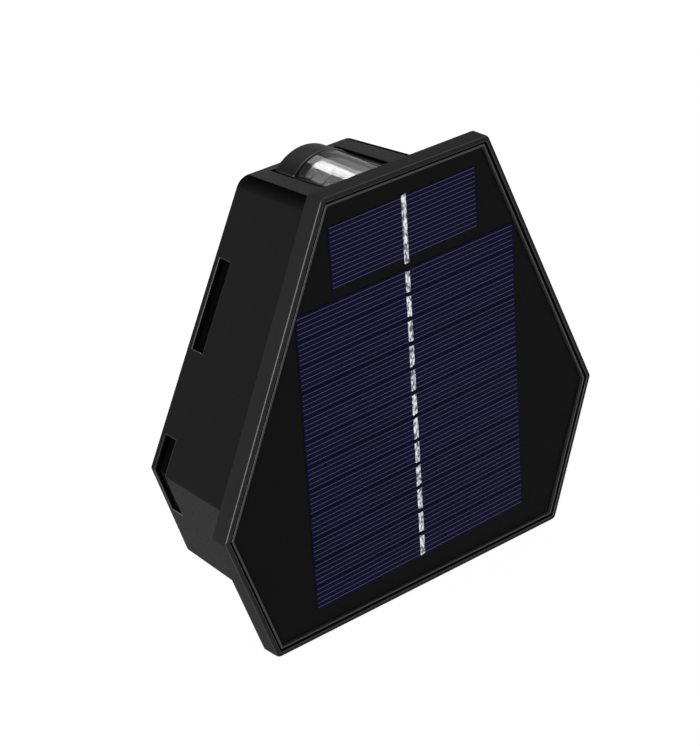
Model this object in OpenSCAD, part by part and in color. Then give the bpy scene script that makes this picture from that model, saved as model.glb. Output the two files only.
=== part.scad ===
// Six-sided solar fence light: a black tub that hangs flat on a wall or fence, with a
// solar panel framed in front, a clear lens on top and below, and light slots in its sides.
// X runs to the right, Y from the panel to the wall, Z up. The wall is the plane y = 0.

/* [Front frame] */
// Width of the frame along its top edge
frame_top_w = 52; // [50:0.5:58]
// Width of the frame across its two wide corners
frame_mid_w = 120; // [114:0.5:130]
// Width of the frame along its bottom edge
frame_bottom_w = 93.4; // [88:0.2:100]
// Height from the wide corners up to the top edge
frame_upper_h = 75.5; // [73:0.5:82]
// Height from the wide corners down to the bottom edge
frame_lower_h = 36.5; // [34:0.5:42]
// Thickness of the frame from its back face to its rim
frame_t = 5; // [4.6:0.1:7]
// Radius of the frame's corners, seen from the front
frame_corner_r = 1.6; // [0.8:0.1:2.4]
// Width of the raised rim round the panel
rim_w = 2.5; // [2.3:0.1:3.2]
// Radius of the rim's outer edge
rim_edge_r = 0.7; // [0.4:0.1:0.9]
// Depth of the groove that runs round the rim
rim_groove_h = 0.7; // [0.2:0.05:0.8]
// Drop from the rim's crest to the lip beside the panel
lip_drop = 0.25; // [0.1:0.05:0.4]
// Thickness of the tray floor behind the panel
tray_t = 1.4; // [1.2:0.1:1.8]
// Depth of the panel's face below the rim
panel_recess = 0.9; // [0.6:0.1:1.2]

/* [Solar panel] */
// Thickness of the black panel board
panel_t = 1.6; // [1.2:0.1:1.8]
// Thickness of a solar cell
cell_t = 0.2; // [0.15:0.05:0.4]
// Gap from the rim down to the upper cell
cell_top_gap = 4.8; // [3:0.1:7]
// Height of the single upper cell
top_cell_h = 15.6; // [12:0.1:18]
// Bare strip between the upper cell and the cells below it
cell_row_gap = 2.9; // [1:0.1:5]
// Gap from the lowest cell down to the rim
cell_bottom_gap = 5.4; // [3:0.1:9]
// Gap from the upper cell's corners to the rim, measured across
top_cell_margin = 3.5; // [0.5:0.1:6]
// Gap from the lower cells' top corners to the rim, measured across
strip_margin = 0.1; // [0.1:0.1:4]
// Turn of the cells on the board, as they were laid
cell_turn = 1.3; // [0:0.1:2]
// Number of cell strips in the lower block
strip_count = 12; // [8:1:16]
// Width of the silver ribbon down the middle
ribbon_w = 1.6; // [1:0.1:3]
// Thickness of the ribbon
ribbon_t = 0.15; // [0.1:0.05:0.3]

/* [Housing] */
// Depth of the housing from the wall to the frame
housing_depth = 35; // [33:0.5:48]
// Width by which the frame passes the housing's top on each side, at the wall
top_margin_w = 8.2; // [6:0.1:8.6]
// Width by which the frame passes each of the housing's wide corners, at the wall
mid_margin_w = 9.4; // [7:0.1:10]
// Width by which the frame passes the housing's bottom on each side, at the wall
bottom_margin_w = 5.3; // [3:0.1:6.5]
// Height by which the frame passes the housing's top, at the wall
top_margin_h = 8.5; // [7:0.1:10]
// Height by which the frame passes the housing's bottom, at the wall
bottom_margin_h = 10.9; // [9:0.1:11.5]
// Height of the housing's wide corners, above the frame's
housing_mid_z = 1.7; // [0:0.1:3]
// Growth of each side from the wall to the frame, which lets the moulding leave its mould
draft = 2; // [1:0.1:2.6]
// Thickness of the side walls
wall_t = 2; // [1.6:0.1:2.4]
// Thickness of the wall plate
plate_t = 1.8; // [1.6:0.1:2.2]
// Radius of the two top corners
top_corner_r = 4; // [2:0.5:5]
// Radius of the two bottom corners
bottom_corner_r = 2; // [1:0.5:4]
// Radius of the two wide corners
mid_corner_r = 0.8; // [0.6:0.1:2]
// Radius of the edge round the wall plate
plate_edge_r = 0.5; // [0.3:0.1:0.8]

/* [Light slots] */
// Distance down the upper side from its top corner to the upper slot
upper_slot_start = 19.6; // [16:0.2:24]
// Length of the upper slot
upper_slot_l = 22.7; // [16:0.1:26]
// Length of the corner slot above the wide corner
corner_slot_up = 9; // [6:0.1:12]
// Length of the corner slot below the wide corner
corner_slot_down = 13; // [8:0.1:15]
// Width of a slot
slot_w = 4.3; // [3:0.1:6]
// Depth that a window lies behind the outside of the wall
window_recess = 0.9; // [0.4:0.1:1.2]

/* [Lenses] */
// Width of the opening for a hood and its lens
lens_opening_w = 20.6; // [19:0.2:22]
// Distance from the wall to the opening
lens_opening_start = 2.45; // [2.4:0.05:4]
// Height of the hood's crown above the housing
hood_h = 3.4; // [2:0.1:3.6]
// Length of the hood, from the wall end to the lens
hood_l = 7; // [5:0.5:9]
// Width of the clear lens
lens_w = 16.4; // [13:0.2:16.6]
// Step from the hood's crown down to the lens's
lens_step = 0.1; // [0:0.05:0.6]
// Fall of the lens's crown from the hood to the frame
lens_fall = 1.4; // [0:0.1:1.6]
// Thickness of the clear plastic
lens_t = 1.2; // [0.8:0.1:1.6]
// Distance from the wall to the middle of the first LED
led_first = 10.5; // [9.5:0.1:12]
// Distance from one LED to the next
led_pitch = 12; // [8:0.5:14]

/* [Wall plate] */
// Radius of the keyhole's round entry
key_entry_r = 4.2; // [3.5:0.1:5]
// Radius of the keyhole's narrow end
key_slot_r = 2.1; // [1.6:0.1:2.4]
// Distance from the entry's centre up to the narrow end's centre
key_slot_rise = 6.6; // [5:0.1:7.5]
// Radius of the push button
button_r = 4; // [3:0.1:4.5]
// Travel of the push button
button_travel = 1.2; // [0.8:0.1:1.5]
// Radius of the screw wells
screw_well_r = 3.1; // [3:0.1:3.4]

/* [Hidden] */
$fn = 48;

// Colours
moulding_black = "#242424";
panel_black = "#151515";
cell_navy = "#14122a";
ribbon_silver = "#d0d0d0";
clear_plastic = "#dfe6ea";
board_green = "#1c5a38";
steel = "#b5b5b0";

// General small sizes
overrun = 1;
min_corner_r = 0.4;
corner_steps = 5;
fit_gap = 0.15;
running_gap = 0.08;
window_t = 1.5;

// Outlines, as corners counted from the bottom left, anticlockwise seen from the front
function six_corners(bottom_w, mid_w, top_w, bottom_z, mid_z, top_z) = [
    [-bottom_w / 2, bottom_z], [bottom_w / 2, bottom_z], [mid_w / 2, mid_z],
    [top_w / 2, top_z], [-top_w / 2, top_z], [-mid_w / 2, mid_z]
];
function unit(v) = v / norm(v);
function left_of(v) = [-v[1], v[0]];

// The same outline with every side moved inwards by d
function inset(outline, d) = [
    for (i = [0 : len(outline) - 1])
        let (before = outline[(i + len(outline) - 1) % len(outline)])
        let (after = outline[(i + 1) % len(outline)])
        let (m = left_of(unit(outline[i] - before)))
        let (n = left_of(unit(after - outline[i])))
        outline[i] + d * (m + n) / (1 + m * n)
];

// The same outline with each corner rounded to its own radius
function rounded(outline, radii) = [
    for (i = [0 : len(outline) - 1])
        let (before = outline[(i + len(outline) - 1) % len(outline)])
        let (after = outline[(i + 1) % len(outline)])
        let (u = unit(before - outline[i]))
        let (v = unit(after - outline[i]))
        let (half = acos(u * v) / 2)
        let (centre = outline[i] + unit(u + v) * radii[i] / sin(half))
        let (first = outline[i] + u * radii[i] / tan(half) - centre)
        let (start = atan2(first[1], first[0]))
        for (k = [0 : corner_steps])
            let (angle = start + (180 - 2 * half) * k / corner_steps)
            centre + radii[i] * [cos(angle), sin(angle)]
];

// A flat outline as a ring of points at a depth in front of the wall
function ring(outline, depth) = [for (p = outline) [p[0], -depth, p[1]]];

// A closed solid through rings that have the same number of points
module ring_solid(rings) {
    n = len(rings[0]);
    last = (len(rings) - 1) * n;
    sides = [
        for (k = [0 : len(rings) - 2])
            for (i = [0 : n - 1])
                let (a = k * n + i)
                let (b = k * n + (i + 1) % n)
                each [[a, a + n, b + n], [a, b + n, b]]
    ];
    rear = [for (i = [0 : n - 1]) i];
    front = [for (i = [n - 1 : -1 : 0]) last + i];
    polyhedron(points = [for (r = rings) each r], faces = concat([rear], sides, [front]), convexity = 6);
}

// An outline swept straight forward, from one depth to another
module slab(outline, from, to) {
    translate([0, -from, 0])
        rotate([90, 0, 0])
            linear_extrude(to - from)
                polygon(outline);
}

// A round bar along the depth, at a place [x, z] on the wall
module post(place, r, from, to) {
    translate([place[0], -from, place[1]])
        rotate([90, 0, 0])
            cylinder(r = r, h = to - from);
}

// A box given by its middle [x, z] on the wall, its size [across, up] and its two depths
module block(place, size, from, to) {
    translate([place[0] - size[0] / 2, -to, place[1] - size[1] / 2])
        cube([size[0], to - from, size[1]]);
}

// Front frame outline
frame_outline = six_corners(
    frame_bottom_w, frame_mid_w, frame_top_w, -frame_lower_h, 0, frame_upper_h
);
frame_back = housing_depth;
frame_front = housing_depth + frame_t;
function frame_ring(d, depth) =
    let (r = max(frame_corner_r - d, min_corner_r))
    ring(rounded(inset(frame_outline, d), [for (i = [0 : 5]) r]), depth);

// Housing outline, which grows from the wall to the frame
housing_top_w = frame_top_w - 2 * top_margin_w;
housing_mid_w = frame_mid_w - 2 * mid_margin_w;
housing_bottom_w = frame_bottom_w - 2 * bottom_margin_w;
housing_top_z = frame_upper_h - top_margin_h;
housing_bottom_z = bottom_margin_h - frame_lower_h;
housing_outline = six_corners(
    housing_bottom_w, housing_mid_w, housing_top_w,
    housing_bottom_z, housing_mid_z, housing_top_z
);
housing_radii = [
    bottom_corner_r, bottom_corner_r, mid_corner_r, top_corner_r, top_corner_r, mid_corner_r
];
function housing_line(d, depth) = rounded(
    inset(housing_outline, d - draft * depth / housing_depth),
    [for (r = housing_radii) max(r - d, min_corner_r)]
);
function housing_ring(d, depth) = ring(housing_line(d, depth), depth);
// Half the housing's width at a height on its upper sides, at the wall
function upper_half_w(z) =
    housing_top_w / 2
    + (housing_top_z - z) / (housing_top_z - housing_mid_z) * (housing_mid_w - housing_top_w) / 2;

// Places on a side wall: along the wall, forward, and outwards
bottom_side = 0;
lower_left_side = 5;
upper_left_side = 4;
top_side = 3;
function side_start(side) = housing_outline[side];
function side_end(side) = housing_outline[(side + 1) % 6];
function side_length(side) = norm(side_end(side) - side_start(side));
function side_along(side) = unit(side_end(side) - side_start(side));
function side_out(side) = -left_of(side_along(side));
// Columns are the three directions, then the corner at the wall that they start from
function side_frame(side, growth) =
    let (a = side_along(side))
    let (o = side_out(side))
    let (along = [a[0], 0, a[1]])
    let (forward = unit([o[0] * growth, -housing_depth, o[1] * growth]))
    let (out = cross(along, forward))
    let (s = side_start(side))
    [
        [along[0], forward[0], out[0], s[0]],
        [along[1], forward[1], out[1], 0],
        [along[2], forward[2], out[2], s[1]],
        [0, 0, 0, 1]
    ];
function side_point(side, growth, p) =
    let (q = side_frame(side, growth) * [p[0], p[1], p[2], 1])
    [q[0], q[1], q[2]];
// On the drafted wall itself
module on_side(side) {
    multmatrix(side_frame(side, draft)) children();
}
// Beside the wall, square to the wall plate
module beside_side(side) {
    multmatrix(side_frame(side, 0)) children();
}
module mirrored() {
    mirror([1, 0, 0]) children();
}
module both_sides() {
    children();
    mirrored() children();
}

// Hood, lens and light unit, along the top or bottom side: across, forward, outwards
unit_gap = 0.3;
lens_end_gap = 1.5;
lens_opening_l = housing_depth - lens_opening_start - lens_end_gap;
hood_w = lens_opening_w - 2 * unit_gap;
hood_start = lens_opening_start + unit_gap;
hood_end = hood_start + hood_l;
unit_end = lens_opening_start + lens_opening_l - unit_gap;
hood_t = 1.4;
shoulder_w = 0.85;
shoulder_drop = 0.5;
// Radius of an arc with half its chord and its rise given
function arc_r(half, rise) = (half * half + rise * rise) / (2 * rise);
hood_half_w = hood_w / 2 - shoulder_w;
hood_r = arc_r(hood_half_w, hood_h + shoulder_drop);
flange_w = 1.5;
flange_t = 1.4;
flange_start = plate_t + fit_gap;
flange_l = unit_end + flange_w - fit_gap - flange_start;
flange_bottom = -wall_t - flange_t;
unit_half_w = hood_w / 2 + flange_w;
lens_start = hood_end + fit_gap;
lens_end = unit_end - shoulder_w - fit_gap;
lens_crown = hood_h - lens_step;
lens_r = arc_r(lens_w / 2, lens_crown + shoulder_drop);
lens_flange_w = 1.2;
lens_flange_t = 1.2;
lens_bottom = flange_bottom - lens_flange_t;
cup_t = 1;
cup_h = 2.6;
cup_slope = 1.2;
cup_bottom = lens_bottom - cup_h;
led_board_t = 1.2;
led_size = [5, 5, 1.6];
led_count = 2;
led_hole_gap = 0.4;
led_margin = 1.5;
unit_h = -cup_bottom + led_board_t;
function led_place(i) = led_first + led_pitch * i;
module on_unit(side) {
    on_side(side)
        translate([side_length(side) / 2, 0, 0])
            children();
}

// Battery, its holder and contacts, lying across the light
battery_r = 7.1;
battery_l = 50;
battery_tip_r = 2.75;
battery_tip_l = 1.5;
battery_end_r = 0.6;
holder_t = 1.2;
holder_end_t = 1.6;
holder_lip = 2;
contact_t = 0.5;
contact_w = 9;
spring_l = 4;
spring_wire_r = 0.4;
spring_turns = 3;
spring_steps = 16;
holder_inner_l = battery_l + spring_l + 2 * contact_t;
holder_l = holder_inner_l + 2 * holder_end_t;
holder_w = 2 * (battery_r + fit_gap + holder_t);
holder_gap = 0.8;
battery_depth = plate_t + holder_t + fit_gap + battery_r;
holder_front = battery_depth + holder_lip;
battery_z = housing_bottom_z + unit_h + holder_gap + holder_w / 2;
battery_right = holder_inner_l / 2 - contact_t;
battery_left = battery_right - battery_l;

// Keyhole
key_box_t = 1.2;
key_box_depth = 4.2;
key_side_gap = 2;
key_box_w = 2 * (key_entry_r + key_side_gap);
key_box_h = key_slot_rise + key_entry_r * 2 + key_side_gap;
board_gap = 1.7;
board_least_h = 22;
board_most_h = 26;
holder_top_z = battery_z + holder_w / 2 + holder_gap;
stack_room = housing_top_z - unit_h - key_box_h - 2 * key_box_t - board_gap - holder_top_z;
key_least_room = 1;
key_most_room = 5.3;
key_room = max(key_least_room, min(key_most_room, stack_room - board_least_h));
key_top_z = housing_top_z - unit_h - key_room - key_box_t;
key_entry_z = key_top_z - key_box_h + key_entry_r + key_side_gap / 2;
key_box_z = key_top_z - key_box_h / 2;

// Screws that hold the frame to the housing from the wall side
screw_boss_t = 1.1;
screw_boss_r = screw_well_r + screw_boss_t;
screw_boss_h = 9;
screw_floor_t = 2.5;
screw_well_h = screw_boss_h - screw_floor_t;
screw_hole_r = 1.6;
screw_r = 1.2;
screw_l = 12;
screw_head_r = 2.7;
screw_head_h = 2;
screw_cross_w = 0.8;
screw_cross_l = 3.2;
screw_cross_h = 1.1;
post_r = 3.4;
pilot_gap = 0.05;
pilot_l = screw_l - screw_floor_t + overrun;
boss_gap = 1;
boss_side_gap = window_t + fit_gap * 2;
upper_boss_z = housing_top_z - unit_h - screw_boss_r - boss_gap - key_room;
upper_boss_inset = (wall_t + screw_boss_r + boss_side_gap) / -side_along(upper_left_side)[1];
upper_boss = [upper_half_w(upper_boss_z) - upper_boss_inset, upper_boss_z];
lower_boss = inset(housing_outline, wall_t + screw_boss_r + boss_side_gap)[1];
boss_places = [
    upper_boss, lower_boss, [-upper_boss[0], upper_boss[1]], [-lower_boss[0], lower_boss[1]]
];

// Push button and its switch
well_depth = 2.2;
well_rim = 2.2;
well_floor_t = 1.8;
well_pad_t = 1.8;
button_drop = 0.6;
button_flange_w = 1.2;
button_flange_t = 1.2;
button_rest_gap = 0.12;
button_edge_r = 0.5;
stem_r = 1.5;
stem_grip = 1;
switch_gap = 0.3;
switch_w = 8.6;
switch_h = 5;
switch_room = 0.5;
well_floor = well_depth + well_floor_t;
flange_back = well_floor + button_rest_gap;
flange_front = flange_back + button_flange_t;
switch_back = flange_front + button_travel + switch_gap;
switch_front = switch_back + switch_h;
stem_end = switch_back + stem_grip;
stem_bore_end = stem_end + button_travel + switch_room;

// Main board
board_size = [34, min(board_most_h, stack_room - key_room)];
board_t = 1.6;
board_corner_r = 1.5;
board_back = switch_front;
board_front = board_back + board_t;
board_z = key_top_z - key_box_h - key_box_t - board_gap - board_size[1] / 2;
button_place = [0, board_z];
board_boss_r = 2.8;
board_boss_inset = 3;
board_hole_r = 1.1;
board_screw_r = 0.85;
board_screw_l = 7;
board_screw_head_r = 1.9;
board_screw_head_h = 1.3;
board_bosses = [
    for (sx = [-1, 1], sz = [-1, 1])
        [sx * (board_size[0] / 2 - board_boss_inset), board_z + sz * (board_size[1] / 2 - board_boss_inset)]
];

// Places on the main board, as shares of its half width and half height
function on_board(shares) = [shares[0] * board_size[0] / 2, board_z + shares[1] * board_size[1] / 2];
plug_h = 5;
plug_deep = 4.4;
pin_pitch = 2;
plug_side_wall = 2.2;
function plug_w(pins) = (pins - 1) * pin_pitch + 2 * plug_side_wall;
top_plug_shares = [0, 0.72];
panel_plug_shares = [0, 0.1];
battery_plug_shares = [-0.38, -0.72];
bottom_plug_shares = [0.38, -0.72];
side_plug_shares = [0.78, 0];
chip_shares = [[0.36, 0.28], [-0.36, 0.28]];
chip_size = [5, 4];
chip_t = 1.5;
coil_shares = [0.36, -0.26];
coil_r = 2.6;
coil_h = 3.6;
capacitor_shares = [-0.36, -0.26];
capacitor_r = 2.2;
capacitor_h = 5.4;
plug_top = board_front + plug_h;

// Side light boards
side_board_l = 10;
side_board_h = 8;
side_board_t = 1;
side_board_room = 4;
window_lap = 1.6;
window_front = plate_t + slot_w + window_lap;
side_board_out = -(wall_t + window_t + side_board_room);
side_rib_t = 1.2;
side_rib_h = 6;
side_led_size = [3.5, 2.8, 1];
side_led_depth = plate_t + slot_w / 2;
upper_light_place = upper_slot_start + upper_slot_l / 2;
corner_light_place = side_length(lower_left_side) / 3;
side_lights = [[upper_left_side, upper_light_place], [lower_left_side, corner_light_place]];

// Leads
lead_r = 0.5;
lead_sides = 6;
lead_steps = 14;
lead_pull = 11;
battery_lead_pull = 16;
lead_hole_r = 4;
led_pad_gap = 1.6;

// Panel stack, counted forward from the tray floor
tray_front = frame_back + tray_t;
panel_front = frame_front - panel_recess;
cell_front = panel_front + cell_t;
panel_back = panel_front - panel_t;
panel_outline = inset(frame_outline, rim_w + fit_gap);
panel_radii = [for (i = [0 : 5]) min_corner_r];
gasket_w = 5;
lead_hole_place = on_board(panel_plug_shares);

// Cells
rim_top = frame_upper_h - rim_w;
rim_bottom = -frame_lower_h + rim_w;
frame_slope = unit(frame_outline[3] - frame_outline[2]);
function rim_half_w(z) =
    frame_top_w / 2 + (frame_upper_h - z) / frame_upper_h * (frame_mid_w - frame_top_w) / 2
    - rim_w / frame_slope[1];
top_cell_top = rim_top - cell_top_gap;
top_cell_bottom = top_cell_top - top_cell_h;
strips_top = top_cell_bottom - cell_row_gap;
strips_bottom = rim_bottom + cell_bottom_gap;
top_cell_w = 2 * (rim_half_w(top_cell_top) - top_cell_margin);
cells_mid_z = (top_cell_top + strips_bottom) / 2;
// The turned corner of the lower cells keeps its margin to the sloping rim
rim_slope = (frame_mid_w - frame_top_w) / 2 / frame_upper_h;
strip_rise = strips_top - cells_mid_z;
strip_w = 2 * (
    rim_half_w(strips_top) - strip_margin - sin(cell_turn) * strip_rise
    + rim_slope * strip_rise * (1 - cos(cell_turn))
) / (cos(cell_turn) - rim_slope * sin(cell_turn));
strip_pitch = (strips_top - strips_bottom) / strip_count;
strip_gap = 0.2;
ribbon_gap = 1.15;
ribbon_over = 0.5;

// The rim's cross-section, as [distance in from the edge, height above the frame's back]
rim_edge_steps = 4;
rim_crest_w = 0.6;
rim_step_w = 0.15;
rim_groove_w = 0.35;
rim_profile = concat(
    [[0, 0]],
    [
        for (k = [0 : rim_edge_steps])
            let (angle = 90 * k / rim_edge_steps)
            [rim_edge_r * (1 - cos(angle)), frame_t - rim_edge_r * (1 - sin(angle))]
    ],
    [
        [rim_edge_r + rim_crest_w, frame_t],
        [rim_edge_r + rim_crest_w + rim_step_w, frame_t - rim_groove_h],
        [rim_edge_r + rim_crest_w + rim_step_w + rim_groove_w, frame_t - rim_groove_h],
        [rim_edge_r + rim_crest_w + 2 * rim_step_w + rim_groove_w, frame_t - lip_drop],
        [rim_w, frame_t - lip_drop],
        [rim_w, tray_t]
    ]
);

// Seal between housing and frame, and the frame's locating lip
seal_w = 1;
seal_t = 0.6;
seal_inset = (wall_t - seal_w) / 2;
lip_t = 1.5;
lip_h = 3;
lip_notch_gap = 1;
function rim_seat_ring(d, depth) = ring(housing_line(d, frame_back), depth);

// A solid tube along a path of points, kept square to one side direction
function tube_ring(path, i, r, side) =
    let (last = len(path) - 1)
    let (t = unit(path[min(i + 1, last)] - path[max(i - 1, 0)]))
    let (u = unit(cross(t, side)))
    let (w = cross(t, u))
    [
        for (k = [0 : lead_sides - 1])
            path[i] + r * (cos(360 * k / lead_sides) * u + sin(360 * k / lead_sides) * w)
    ];
module tube(path, r, side) {
    ring_solid([for (i = [0 : len(path) - 1]) tube_ring(path, i, r, side)]);
}
// A smooth lead from one point to another, leaving each end straight, bowed by pull
function curve(a, b, c, d, t) =
    pow(1 - t, 3) * a + 3 * t * pow(1 - t, 2) * b + 3 * t * t * (1 - t) * c + pow(t, 3) * d;
module lead(from, leave, to, arrive, pull = lead_pull) {
    inner = [
        for (i = [1 : lead_steps - 1])
            curve(from, from + pull * leave, to + pull * arrive, to, i / lead_steps)
    ];
    path = concat([from, from + lead_r * leave], inner, [to + lead_r * arrive, to]);
    tube(path, lead_r, unit(cross(leave, to - from)));
}
forward = [0, -1, 0];
function at_depth(place, depth) = [place[0], -depth, place[1]];

module screw_wells() {
    for (place = boss_places) {
        post(place, screw_well_r, -overrun, screw_well_h);
        post(place, screw_hole_r, 0, screw_boss_h + overrun);
    }
}

module keyhole_cut() {
    entry = [0, key_entry_z];
    narrow = [0, key_entry_z + key_slot_rise];
    middle = [0, key_entry_z + key_slot_rise / 2];
    post(entry, key_entry_r, -overrun, plate_t + overrun);
    post(narrow, key_slot_r, -overrun, plate_t + overrun);
    block(middle, [2 * key_slot_r, key_slot_rise], -overrun, plate_t + overrun);
    block([0, key_box_z], [key_box_w, key_box_h], plate_t, plate_t + key_box_depth);
}

module slot_cuts() {
    cut_h = wall_t + 2 * overrun;
    long = side_length(upper_left_side);
    on_side(upper_left_side) {
        translate([upper_slot_start, plate_t, -wall_t - overrun])
            cube([upper_slot_l, slot_w, cut_h]);
        translate([long - corner_slot_up, plate_t, -wall_t - overrun])
            cube([corner_slot_up + overrun, slot_w, cut_h]);
    }
    on_side(lower_left_side)
        translate([-overrun, plate_t, -wall_t - overrun])
            cube([corner_slot_down + overrun, slot_w, cut_h]);
}

module lens_cut(side) {
    on_unit(side)
        translate([-lens_opening_w / 2, lens_opening_start, -wall_t - overrun])
            cube([lens_opening_w, lens_opening_l, wall_t + 2 * overrun]);
}

module side_ribs() {
    for (light = side_lights)
        beside_side(light[0])
            translate([light[1] - side_board_l / 2, 0, side_board_out - side_board_t - side_rib_t])
                cube([side_board_l, plate_t + side_rib_h, side_rib_t]);
}

module housing_shell() {
    edge = [
        for (k = [0 : corner_steps])
            let (angle = 90 * k / corner_steps)
            housing_ring(plate_edge_r * (1 - sin(angle)), plate_edge_r * (1 - cos(angle)))
    ];
    difference() {
        ring_solid(concat(edge, [housing_ring(0, housing_depth)]));
        ring_solid([housing_ring(wall_t, plate_t), housing_ring(wall_t, housing_depth + overrun)]);
    }
}

module housing() {
    color(moulding_black)
        difference() {
            union() {
                housing_shell();
                for (place = boss_places)
                    post(place, screw_boss_r, plate_t / 2, screw_boss_h);
                for (place = board_bosses)
                    post(place, board_boss_r, plate_t / 2, board_back);
                post(button_place, button_r + well_rim + well_pad_t, plate_t / 2, well_floor);
                block(
                    [0, key_box_z], [key_box_w + 2 * key_box_t, key_box_h + 2 * key_box_t],
                    plate_t / 2, plate_t + key_box_depth + key_box_t
                );
                both_sides() side_ribs();
            }
            screw_wells();
            keyhole_cut();
            both_sides() slot_cuts();
            lens_cut(top_side);
            lens_cut(bottom_side);
            post(button_place, button_r + well_rim, -overrun, well_depth);
            post(button_place, button_r + running_gap, 0, well_floor + overrun);
            for (place = board_bosses)
                post(place, board_screw_r + pilot_gap, board_back - board_screw_l, board_back + overrun);
        }
}

// The rim, side and floor are one profile carried round the six corners
module front_frame() {
    color(moulding_black)
        difference() {
            union() {
                ring_solid([for (p = rim_profile) frame_ring(p[0], frame_back + p[1])]);
                locating_lip();
                for (place = boss_places)
                    post(place, post_r, screw_boss_h, frame_back + tray_t / 2);
            }
            for (place = boss_places)
                post(place, screw_r + pilot_gap, screw_boss_h - overrun, screw_boss_h + pilot_l);
            post(lead_hole_place, lead_hole_r, frame_back - overrun, tray_front + overrun);
            seal_shape();
        }
}

module locating_lip() {
    outer = wall_t + fit_gap;
    lip_back = frame_back - lip_h;
    notch = [2 * (unit_half_w + lip_notch_gap), lip_h * 3];
    difference() {
        ring_solid([housing_ring(outer, lip_back), housing_ring(outer, frame_back + tray_t / 2)]);
        ring_solid([
            housing_ring(outer + lip_t, lip_back - overrun),
            housing_ring(outer + lip_t, frame_back + tray_t)
        ]);
        for (z = [housing_top_z, housing_bottom_z])
            block([0, z], notch, lip_back - overrun, frame_back);
    }
}

module seal_shape() {
    difference() {
        ring_solid([
            rim_seat_ring(seal_inset, frame_back), rim_seat_ring(seal_inset, frame_back + seal_t)
        ]);
        ring_solid([
            rim_seat_ring(seal_inset + seal_w, frame_back - overrun),
            rim_seat_ring(seal_inset + seal_w, frame_back + seal_t + overrun)
        ]);
    }
}

module housing_seal() {
    color("#3a3a3a") seal_shape();
}

module panel_gasket() {
    color("#303030")
        difference() {
            slab(rounded(panel_outline, panel_radii), tray_front, panel_back);
            slab(
                rounded(inset(panel_outline, gasket_w), panel_radii),
                tray_front - overrun, panel_back + overrun
            );
        }
}

module panel_board() {
    color(panel_black) slab(rounded(panel_outline, panel_radii), panel_back, panel_front);
}

module turned_cells() {
    translate([0, 0, cells_mid_z])
        rotate([0, -cell_turn, 0])
            translate([0, 0, -cells_mid_z])
                children();
}

module solar_cells() {
    color(cell_navy) turned_cells() {
        block([0, top_cell_top - top_cell_h / 2], [top_cell_w, top_cell_h], panel_front, cell_front);
        for (i = [0 : strip_count - 1])
            block(
                [0, strips_top - strip_pitch * (i + 0.5)], [strip_w, strip_pitch - strip_gap],
                panel_front, cell_front
            );
    }
}

module cell_ribbons() {
    long_top = top_cell_top + ribbon_over;
    long_bottom = top_cell_bottom - cell_row_gap + strip_gap + ribbon_gap;
    color(ribbon_silver) turned_cells() {
        block(
            [0, (long_top + long_bottom) / 2], [ribbon_w, long_top - long_bottom],
            cell_front, cell_front + ribbon_t
        );
        for (i = [0 : strip_count - 1])
            block(
                [0, strips_top - strip_pitch * (i + 0.5)], [ribbon_w, strip_pitch - ribbon_gap],
                cell_front, cell_front + ribbon_t
            );
    }
}

// Outline of an arch across its length: straight sides and a crown that is one arc
module arch(half_w, crown, r, bottom, wall) {
    intersection() {
        translate([0, crown - r]) circle(r = r - wall, $fn = 96);
        translate([wall - half_w, bottom]) square([2 * (half_w - wall), crown - bottom]);
    }
}

module along_unit(from, to) {
    translate([0, to, 0])
        rotate([90, 0, 0])
            linear_extrude(to - from)
                children();
}

// A box across the whole width given, between two distances from the wall and two heights
module unit_box(half_w, from, to, bottom, top) {
    translate([-half_w, from, bottom]) cube([2 * half_w, to - from, top - bottom]);
}

// Black hood at the wall end, with a frame in front of it that holds the lens
module hood() {
    lens_room_w = lens_w / 2 + fit_gap;
    difference() {
        union() {
            along_unit(hood_start, hood_end) arch(hood_half_w, hood_h, hood_r, flange_bottom, 0);
            unit_box(hood_w / 2, hood_start, unit_end, flange_bottom, -shoulder_drop);
            unit_box(unit_half_w, flange_start, flange_start + flange_l, flange_bottom, -wall_t);
        }
        along_unit(hood_start + hood_t, hood_end - hood_t)
            arch(hood_half_w, hood_h, hood_r, flange_bottom - overrun, hood_t);
        unit_box(lens_room_w, hood_end, unit_end - shoulder_w, flange_bottom - overrun, overrun);
    }
}

// Shears a form so that it falls by lens_fall along the lens
module falling() {
    slope = lens_fall / (lens_end - lens_start);
    multmatrix([[1, 0, 0, 0], [0, 1, 0, 0], [0, -slope, 1, slope * lens_start]]) children();
}

module lens() {
    difference() {
        union() {
            intersection() {
                falling()
                    along_unit(lens_start, lens_end)
                        arch(lens_w / 2, lens_crown, lens_r, lens_bottom, 0);
                unit_box(lens_w / 2, lens_start, lens_end, lens_bottom, lens_crown);
            }
            unit_box(
                lens_w / 2 + lens_flange_w, lens_start - lens_flange_w, lens_end + lens_flange_w,
                lens_bottom, flange_bottom
            );
        }
        falling()
            along_unit(lens_start + lens_t, lens_end - lens_t)
                arch(lens_w / 2, lens_crown, lens_r, lens_bottom - overrun, lens_t);
    }
}

module top_hood() {
    color(moulding_black) on_unit(top_side) hood();
}

module bottom_hood() {
    color(moulding_black) on_unit(bottom_side) hood();
}

module top_lens() {
    color(clear_plastic, 0.5) on_unit(top_side) lens();
}

module bottom_lens() {
    color(clear_plastic, 0.5) on_unit(bottom_side) lens();
}

// Cup under the lens: a plate that takes the lens's flange, and a dish with a hole for each LED
dish_start = led_first - led_size[1] / 2 - led_margin;
dish_l = lens_end - lens_t - dish_start;
dish_half_w = lens_w / 2 - lens_t;

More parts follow.
